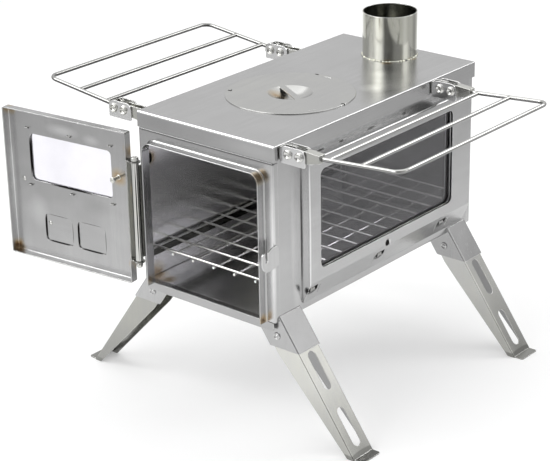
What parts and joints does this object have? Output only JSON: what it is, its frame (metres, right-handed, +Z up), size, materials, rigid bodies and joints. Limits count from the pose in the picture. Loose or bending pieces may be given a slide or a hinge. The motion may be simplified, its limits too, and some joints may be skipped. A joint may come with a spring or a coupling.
{
  "type": "camping wood stove",
  "caption": "Folding sheet-steel camping wood stove with hinged glass door, side window, fold-out wire racks, flue collar and folding legs.",
  "frame": {"origin": "centre of the bounding box, on the ground under the feet", "axes": "+Z up, -Y towards the door, +X towards the side window"},
  "size_m": [0.5718, 0.4208, 0.4148],
  "materials": {
    "sheet_steel": "satin sheet stainless steel",
    "bright_steel": "bright stainless steel",
    "wire_steel": "drawn stainless wire",
    "stove_glass": "clear heat-proof glass",
    "gasket": "glass-fibre tape"
  },
  "bodies": {
    "stove": {"firebox_shell": "sheet_steel", "front_panel": "sheet_steel", "door_collar": "sheet_steel", "front_sill": "sheet_steel", "back_panel": "sheet_steel", "top_plate": "sheet_steel", "flue_collar": "bright_steel", "window_gasket": "gasket", "window_glass": "stove_glass", "window_retainer": "sheet_steel", "window_frame": "sheet_steel", "window_lugs": "sheet_steel", "window_spacers": "sheet_steel", "door_keeper": "bright_steel", "door_hinge_barrel": "bright_steel", "grate_ledge_right": "sheet_steel", "grate_ledge_left": "sheet_steel", "rack_ears_right": "sheet_steel", "leg_bracket_front_right": "sheet_steel", "leg_pins_front_right": "bright_steel", "leg_bracket_rear_right": "sheet_steel", "leg_pins_rear_right": "bright_steel", "rack_ears_left": "sheet_steel", "leg_bracket_front_left": "sheet_steel", "leg_pins_front_left": "bright_steel", "leg_bracket_rear_left": "sheet_steel", "leg_pins_rear_left": "bright_steel"},
    "door": {"door_panel": "sheet_steel", "door_glass": "stove_glass", "door_glass_frame": "sheet_steel", "door_glass_lugs": "sheet_steel", "door_stud": "bright_steel", "door_hinge_bracket": "sheet_steel", "door_hinge_rod": "bright_steel", "door_hinge_nut": "bright_steel", "damper_rails": "sheet_steel", "latch_pin": "bright_steel"},
    "air_damper": {"air_damper": "sheet_steel", "damper_knob": "bright_steel"},
    "door_latch": {"latch_bar": "sheet_steel"},
    "cook_lid": {"cook_lid": "sheet_steel"},
    "grate": {"grate": "wire_steel"},
    "right_links": {"rack_links_right": "bright_steel", "rack_rivets_right": "bright_steel"},
    "left_links": {"rack_links_left": "bright_steel", "rack_rivets_left": "bright_steel"},
    "right_rack": {"rack_arms_right": "sheet_steel", "rack_wires_right": "wire_steel"},
    "left_rack": {"rack_arms_left": "sheet_steel", "rack_wires_left": "wire_steel"},
    "leg_front_right": {"leg_front_right": "sheet_steel"},
    "leg_rear_right": {"leg_rear_right": "sheet_steel"},
    "leg_front_left": {"leg_front_left": "sheet_steel"},
    "leg_rear_left": {"leg_rear_left": "sheet_steel"}
  },
  "joints": [
    {"name": "door_hinge", "type": "hinge", "parent": "stove", "child": "door", "pos_m": [-0.08647, -0.18513, 0.23235], "axis": [0, 0, 1], "range_deg": [-6, 173.9]},
    {"name": "air_damper_slide", "type": "slide", "parent": "door", "child": "air_damper", "axis": [0.9943, 0.1063, 0], "range_m": [0, 0.034]},
    {"name": "door_latch_turn", "type": "hinge", "parent": "door", "child": "door_latch", "pos_m": [-0.26707, -0.19579, 0.237], "axis": [-0.1063, 0.9943, 0], "range_deg": [0, 110]},
    {"name": "cook_lid_lift", "type": "slide", "parent": "stove", "child": "cook_lid", "axis": [0, 0, 1], "range_m": [0, 0.06]},
    {"name": "grate_lift", "type": "slide", "parent": "stove", "child": "grate", "axis": [0, 0, 1], "range_m": [0, 0.08]},
    {"name": "right_link_fold", "type": "hinge", "parent": "stove", "child": "right_links", "pos_m": [0.13623, -0.02189, 0.3503], "axis": [0, -1, 0], "range_deg": [0, 90]},
    {"name": "right_rack_fold", "type": "hinge", "parent": "right_links", "child": "right_rack", "pos_m": [0.15193, -0.02189, 0.3503], "axis": [0, -1, 0], "range_deg": [0, 80.6]},
    {"name": "left_link_fold", "type": "hinge", "parent": "stove", "child": "left_links", "pos_m": [-0.11357, -0.02189, 0.3503], "axis": [0, 1, 0], "range_deg": [0, 90]},
    {"name": "left_rack_fold", "type": "hinge", "parent": "left_links", "child": "left_rack", "pos_m": [-0.12928, -0.02189, 0.3503], "axis": [0, 1, 0], "range_deg": [0, 83.2]},
    {"name": "leg_front_right_fold", "type": "hinge", "parent": "stove", "child": "leg_front_right", "pos_m": [0.11772, -0.15493, 0.1263], "axis": [0, 1, 0], "range_deg": [0, 125.5]},
    {"name": "leg_rear_right_fold", "type": "hinge", "parent": "stove", "child": "leg_rear_right", "pos_m": [0.11772, 0.17636, 0.1263], "axis": [0, 1, 0], "range_deg": [0, 125.5]},
    {"name": "leg_front_left_fold", "type": "hinge", "parent": "stove", "child": "leg_front_left", "pos_m": [-0.08027, -0.15493, 0.1263], "axis": [0, -1, 0], "range_deg": [0, 130.5]},
    {"name": "leg_rear_left_fold", "type": "hinge", "parent": "stove", "child": "leg_rear_left", "pos_m": [-0.08027, 0.17636, 0.1263], "axis": [0, -1, 0], "range_deg": [0, 130.5]}
  ]
}
